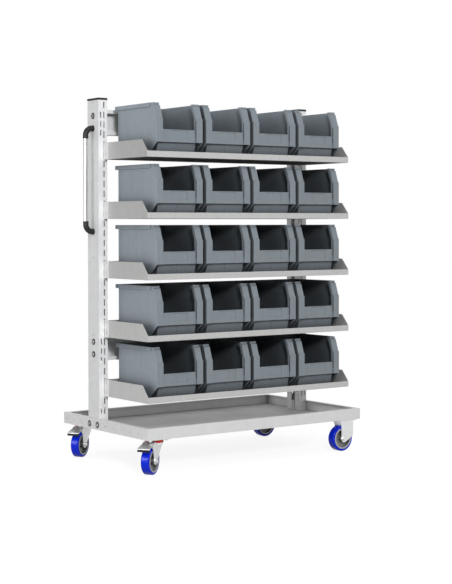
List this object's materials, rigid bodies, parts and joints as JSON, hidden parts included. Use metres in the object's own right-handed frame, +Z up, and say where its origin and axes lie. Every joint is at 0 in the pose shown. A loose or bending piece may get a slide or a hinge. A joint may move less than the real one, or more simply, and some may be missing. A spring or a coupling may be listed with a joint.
{
  "type": "mobile bin cart",
  "caption": "Steel tray cart on swivel and fixed castors with two slotted posts, hook-on shelves of open-front storage bins and a side handle.",
  "frame": {"origin": "on the floor under the middle of the tray", "axes": "+X along the cart away from the handle, +Y to the rear behind the shelves, +Z up"},
  "size_m": [1.0455, 0.6209, 1.373],
  "materials": {
    "tray_grey": "satin powder coat",
    "frame_white": "satin powder coat",
    "bin": "moulded polypropylene",
    "zinc": "zinc plated",
    "tube": "satin anodised",
    "black": "moulded",
    "tyre": "cast polyurethane",
    "hub": "moulded polyamide",
    "seal": "moulded"
  },
  "bodies": {
    "frame": {"tray_deck": "tray_grey", "tray_rim": "frame_white", "left_post": "frame_white", "right_post": "frame_white", "post_caps": "black", "top_beam": "frame_white", "lower_beam": "frame_white", "handle_tube": "tube", "handle_ends": "black", "shelf_brackets": "zinc", "post_feet": "zinc", "frame_bolts": "zinc", "castor_bolts": "zinc", "shelf_1": "frame_white", "shelf_2": "frame_white", "shelf_3": "frame_white", "shelf_4": "frame_white", "shelf_5": "frame_white", "front_swivel_plate": "zinc", "rear_swivel_plate": "zinc", "front_fixed_fork": "zinc", "front_fixed_axle": "zinc", "rear_fixed_fork": "zinc", "rear_fixed_axle": "zinc"},
    "front_swivel": {"front_swivel_fork": "zinc", "front_swivel_seal": "seal", "front_swivel_pins": "zinc"},
    "front_swivel_wheel": {"front_swivel_tyre": "tyre", "front_swivel_hub": "hub"},
    "front_brake": {"front_swivel_pedal": "zinc"},
    "rear_swivel": {"rear_swivel_fork": "zinc", "rear_swivel_seal": "seal", "rear_swivel_pins": "zinc"},
    "rear_swivel_wheel": {"rear_swivel_tyre": "tyre", "rear_swivel_hub": "hub"},
    "rear_brake": {"rear_swivel_pedal": "zinc"},
    "front_fixed_wheel": {"front_fixed_tyre": "tyre", "front_fixed_hub": "hub"},
    "rear_fixed_wheel": {"rear_fixed_tyre": "tyre", "rear_fixed_hub": "hub"},
    "bin_1_1": {"bin_1_1": "bin"},
    "bin_1_2": {"bin_1_2": "bin"},
    "bin_1_3": {"bin_1_3": "bin"},
    "bin_1_4": {"bin_1_4": "bin"},
    "bin_2_1": {"bin_2_1": "bin"},
    "bin_2_2": {"bin_2_2": "bin"},
    "bin_2_3": {"bin_2_3": "bin"},
    "bin_2_4": {"bin_2_4": "bin"},
    "bin_3_1": {"bin_3_1": "bin"},
    "bin_3_2": {"bin_3_2": "bin"},
    "bin_3_3": {"bin_3_3": "bin"},
    "bin_3_4": {"bin_3_4": "bin"},
    "bin_4_1": {"bin_4_1": "bin"},
    "bin_4_2": {"bin_4_2": "bin"},
    "bin_4_3": {"bin_4_3": "bin"},
    "bin_4_4": {"bin_4_4": "bin"},
    "bin_5_1": {"bin_5_1": "bin"},
    "bin_5_2": {"bin_5_2": "bin"},
    "bin_5_3": {"bin_5_3": "bin"},
    "bin_5_4": {"bin_5_4": "bin"}
  },
  "joints": [
    {"name": "front_swivel_turn", "type": "hinge", "parent": "frame", "child": "front_swivel", "pos_m": [-0.439, -0.25, 0.114], "axis": [0, 0, 1], "continuous": true},
    {"name": "front_swivel_wheel_spin", "type": "hinge", "parent": "front_swivel", "child": "front_swivel_wheel", "pos_m": [-0.46919, -0.26961, 0.05], "axis": [0.5446, -0.8387, 0], "continuous": true},
    {"name": "front_brake_press", "type": "hinge", "parent": "front_swivel", "child": "front_brake", "pos_m": [-0.47255, -0.27179, 0.114], "axis": [0.5446, -0.8387, 0], "range_deg": [0, 12]},
    {"name": "rear_swivel_turn", "type": "hinge", "parent": "frame", "child": "rear_swivel", "pos_m": [-0.439, 0.25, 0.114], "axis": [0, 0, 1], "continuous": true},
    {"name": "rear_swivel_wheel_spin", "type": "hinge", "parent": "rear_swivel", "child": "rear_swivel_wheel", "pos_m": [-0.46919, 0.23039, 0.05], "axis": [0.5446, -0.8387, 0], "continuous": true},
    {"name": "rear_brake_press", "type": "hinge", "parent": "rear_swivel", "child": "rear_brake", "pos_m": [-0.47255, 0.22821, 0.114], "axis": [0.5446, -0.8387, 0], "range_deg": [0, 12]},
    {"name": "front_fixed_wheel_spin", "type": "hinge", "parent": "frame", "child": "front_fixed_wheel", "pos_m": [0.439, -0.25, 0.05], "axis": [0, 1, 0], "continuous": true},
    {"name": "rear_fixed_wheel_spin", "type": "hinge", "parent": "frame", "child": "rear_fixed_wheel", "pos_m": [0.439, 0.25, 0.05], "axis": [0, 1, 0], "continuous": true},
    {"name": "bin_1_1_lift", "type": "slide", "parent": "frame", "child": "bin_1_1", "axis": [0, 0, 1], "range_m": [0, 0.25]},
    {"name": "bin_1_2_lift", "type": "slide", "parent": "frame", "child": "bin_1_2", "axis": [0, 0, 1], "range_m": [0, 0.25]},
    {"name": "bin_1_3_lift", "type": "slide", "parent": "frame", "child": "bin_1_3", "axis": [0, 0, 1], "range_m": [0, 0.25]},
    {"name": "bin_1_4_lift", "type": "slide", "parent": "frame", "child": "bin_1_4", "axis": [0, 0, 1], "range_m": [0, 0.25]},
    {"name": "bin_2_1_lift", "type": "slide", "parent": "frame", "child": "bin_2_1", "axis": [0, 0, 1], "range_m": [0, 0.018]},
    {"name": "bin_2_2_lift", "type": "slide", "parent": "frame", "child": "bin_2_2", "axis": [0, 0, 1], "range_m": [0, 0.018]},
    {"name": "bin_2_3_lift", "type": "slide", "parent": "frame", "child": "bin_2_3", "axis": [0, 0, 1], "range_m": [0, 0.018]},
    {"name": "bin_2_4_lift", "type": "slide", "parent": "frame", "child": "bin_2_4", "axis": [0, 0, 1], "range_m": [0, 0.018]},
    {"name": "bin_3_1_lift", "type": "slide", "parent": "frame", "child": "bin_3_1", "axis": [0, 0, 1], "range_m": [0, 0.018]},
    {"name": "bin_3_2_lift", "type": "slide", "parent": "frame", "child": "bin_3_2", "axis": [0, 0, 1], "range_m": [0, 0.018]},
    {"name": "bin_3_3_lift", "type": "slide", "parent": "frame", "child": "bin_3_3", "axis": [0, 0, 1], "range_m": [0, 0.018]},
    {"name": "bin_3_4_lift", "type": "slide", "parent": "frame", "child": "bin_3_4", "axis": [0, 0, 1], "range_m": [0, 0.018]},
    {"name": "bin_4_1_lift", "type": "slide", "parent": "frame", "child": "bin_4_1", "axis": [0, 0, 1], "range_m": [0, 0.018]},
    {"name": "bin_4_2_lift", "type": "slide", "parent": "frame", "child": "bin_4_2", "axis": [0, 0, 1], "range_m": [0, 0.018]},
    {"name": "bin_4_3_lift", "type": "slide", "parent": "frame", "child": "bin_4_3", "axis": [0, 0, 1], "range_m": [0, 0.018]},
    {"name": "bin_4_4_lift", "type": "slide", "parent": "frame", "child": "bin_4_4", "axis": [0, 0, 1], "range_m": [0, 0.018]},
    {"name": "bin_5_1_lift", "type": "slide", "parent": "frame", "child": "bin_5_1", "axis": [0, 0, 1], "range_m": [0, 0.018]},
    {"name": "bin_5_2_lift", "type": "slide", "parent": "frame", "child": "bin_5_2", "axis": [0, 0, 1], "range_m": [0, 0.018]},
    {"name": "bin_5_3_lift", "type": "slide", "parent": "frame", "child": "bin_5_3", "axis": [0, 0, 1], "range_m": [0, 0.018]},
    {"name": "bin_5_4_lift", "type": "slide", "parent": "frame", "child": "bin_5_4", "axis": [0, 0, 1], "range_m": [0, 0.018]}
  ]
}
